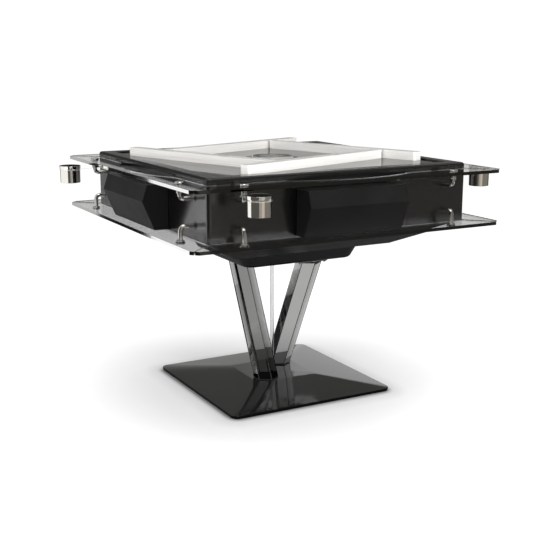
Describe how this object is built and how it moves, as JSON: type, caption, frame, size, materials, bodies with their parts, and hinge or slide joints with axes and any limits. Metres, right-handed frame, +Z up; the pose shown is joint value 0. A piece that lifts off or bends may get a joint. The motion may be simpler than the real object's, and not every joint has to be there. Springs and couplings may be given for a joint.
{
  "type": "automatic mahjong table",
  "caption": "Square automatic mahjong table with glass shelves, cups, drawers and tile walls on crossed crystal legs and a square base.",
  "frame": {"origin": "on the floor under the middle of the table", "axes": "+Z up, +X along the front side to the right, +Y away from the front side"},
  "size_m": [1.2116, 1.2116, 0.787],
  "materials": {
    "black_body": "satin",
    "drawer_black": "satin",
    "base_black": "gloss paint",
    "plate_black": "satin",
    "pad_rubber": "matte",
    "crystal": "polished",
    "clear_tube": "polished",
    "clear_acrylic": "polished",
    "shelf_glass": "polished",
    "black_glass": "polished",
    "smoked_glass": "polished",
    "console_black": "polished",
    "dice_white": "polished",
    "tile_white": "satin",
    "chrome_rod": "polished",
    "chrome_button": "polished",
    "washer_rubber": "matte",
    "cup_steel": "brushed",
    "steel_plate": "brushed",
    "screw_steel": "polished",
    "chassis_board": "painted board",
    "rail_aluminium": "mill",
    "guide_bronze": "turned",
    "slide_plastic": "matte",
    "tray_plastic": "matte",
    "bowl_plastic": "matte",
    "column_steel": "turned",
    "motor_grey": "satin",
    "roller_rubber": "matte",
    "box_grey": "powder coat",
    "inlet_black": "matte"
  },
  "bodies": {
    "table": {"foot_pads": "pad_rubber", "base_under_plate": "plate_black", "base_plinth": "base_black", "leg_foot_plates": "steel_plate", "front_crystal_leg": "crystal", "rear_crystal_leg": "crystal", "leg_top_plates": "steel_plate", "leg_screws": "screw_steel", "cable_tube": "clear_tube", "lower_tray": "black_body", "control_box": "box_grey", "pan": "black_body", "power_inlet": "inlet_black", "cabinet_shell": "black_body", "chassis": "chassis_board", "rim_frame": "black_body", "playing_glass": "black_glass", "lift_guides": "guide_bronze", "drawer_runners": "slide_plastic", "mixing_bowl": "bowl_plastic", "centre_column": "column_steel", "drive_motor": "motor_grey", "upper_rods": "chrome_rod", "lower_rods": "chrome_rod", "shelf_collars": "chrome_rod", "shelf_washers": "washer_rubber", "shelf_flanges": "chrome_rod", "shelf_caps": "chrome_rod", "upper_shelves": "shelf_glass", "lower_shelves": "shelf_glass", "cup_holders": "clear_acrylic"},
    "console": {"console_body": "console_black", "console_window": "smoked_glass", "dice": "dice_white"},
    "turntable": {"mixing_turntable": "bowl_plastic"},
    "roller": {"drive_roller": "roller_rubber"},
    "wall_front": {"tile_wall_front": "tile_white", "lift_rail_front": "rail_aluminium"},
    "drawer_front": {"drawer_face_front": "drawer_black", "drawer_tray_front": "tray_plastic"},
    "cup_body_front": {"cup_front": "cup_steel"},
    "button_body_front": {"button_front": "chrome_button"},
    "wall_right": {"tile_wall_right": "tile_white", "lift_rail_right": "rail_aluminium"},
    "drawer_right": {"drawer_face_right": "drawer_black", "drawer_tray_right": "tray_plastic"},
    "cup_body_right": {"cup_right": "cup_steel"},
    "button_body_right": {"button_right": "chrome_button"},
    "wall_back": {"tile_wall_back": "tile_white", "lift_rail_back": "rail_aluminium"},
    "drawer_back": {"drawer_face_back": "drawer_black", "drawer_tray_back": "tray_plastic"},
    "cup_body_back": {"cup_back": "cup_steel"},
    "button_body_back": {"button_back": "chrome_button"},
    "wall_left": {"tile_wall_left": "tile_white", "lift_rail_left": "rail_aluminium"},
    "drawer_left": {"drawer_face_left": "drawer_black", "drawer_tray_left": "tray_plastic"},
    "cup_body_left": {"cup_left": "cup_steel"},
    "button_body_left": {"button_left": "chrome_button"}
  },
  "joints": [
    {"name": "console_lift", "type": "slide", "parent": "table", "child": "console", "axis": [0, 0, 1], "range_m": [0, 0.07]},
    {"name": "turntable_spin", "type": "hinge", "parent": "table", "child": "turntable", "pos_m": [0, 0, 0.64], "axis": [0, 0, 1], "continuous": true},
    {"name": "roller_spin", "type": "hinge", "parent": "table", "child": "roller", "pos_m": [0.1753, 0, 0.62], "axis": [0, 0, 1], "continuous": true},
    {"name": "wall_lift_front", "type": "slide", "parent": "table", "child": "wall_front", "axis": [0, 0, 1], "range_m": [-0.045, 0]},
    {"name": "drawer_slide_front", "type": "slide", "parent": "table", "child": "drawer_front", "axis": [0, -1, 0], "range_m": [0, 0.14]},
    {"name": "cup_out_front", "type": "slide", "parent": "table", "child": "cup_body_front", "axis": [0, 0, 1], "range_m": [0, 0.08]},
    {"name": "button_press_front", "type": "slide", "parent": "console", "child": "button_body_front", "axis": [0, 0, -1], "range_m": [0, 0.002], "stiffness_N_per_m": 200, "springref_m": -0.001},
    {"name": "wall_lift_right", "type": "slide", "parent": "table", "child": "wall_right", "axis": [0, 0, 1], "range_m": [-0.045, 0]},
    {"name": "drawer_slide_right", "type": "slide", "parent": "table", "child": "drawer_right", "axis": [1, 0, 0], "range_m": [0, 0.14]},
    {"name": "cup_out_right", "type": "slide", "parent": "table", "child": "cup_body_right", "axis": [0, 0, 1], "range_m": [0, 0.08]},
    {"name": "button_press_right", "type": "slide", "parent": "console", "child": "button_body_right", "axis": [0, 0, -1], "range_m": [0, 0.002], "stiffness_N_per_m": 200, "springref_m": -0.001},
    {"name": "wall_lift_back", "type": "slide", "parent": "table", "child": "wall_back", "axis": [0, 0, 1], "range_m": [-0.045, 0]},
    {"name": "drawer_slide_back", "type": "slide", "parent": "table", "child": "drawer_back", "axis": [0, 1, 0], "range_m": [0, 0.14]},
    {"name": "cup_out_back", "type": "slide", "parent": "table", "child": "cup_body_back", "axis": [0, 0, 1], "range_m": [0, 0.08]},
    {"name": "button_press_back", "type": "slide", "parent": "console", "child": "button_body_back", "axis": [0, 0, -1], "range_m": [0, 0.002], "stiffness_N_per_m": 200, "springref_m": -0.001},
    {"name": "wall_lift_left", "type": "slide", "parent": "table", "child": "wall_left", "axis": [0, 0, 1], "range_m": [-0.045, 0]},
    {"name": "drawer_slide_left", "type": "slide", "parent": "table", "child": "drawer_left", "axis": [-1, 0, 0], "range_m": [0, 0.14]},
    {"name": "cup_out_left", "type": "slide", "parent": "table", "child": "cup_body_left", "axis": [0, 0, 1], "range_m": [0, 0.08]},
    {"name": "button_press_left", "type": "slide", "parent": "console", "child": "button_body_left", "axis": [0, 0, -1], "range_m": [0, 0.002], "stiffness_N_per_m": 200, "springref_m": -0.001}
  ],
  "couplings": [
    {"joint": "roller_spin", "follows": "turntable_spin", "ratio": -6}
  ]
}
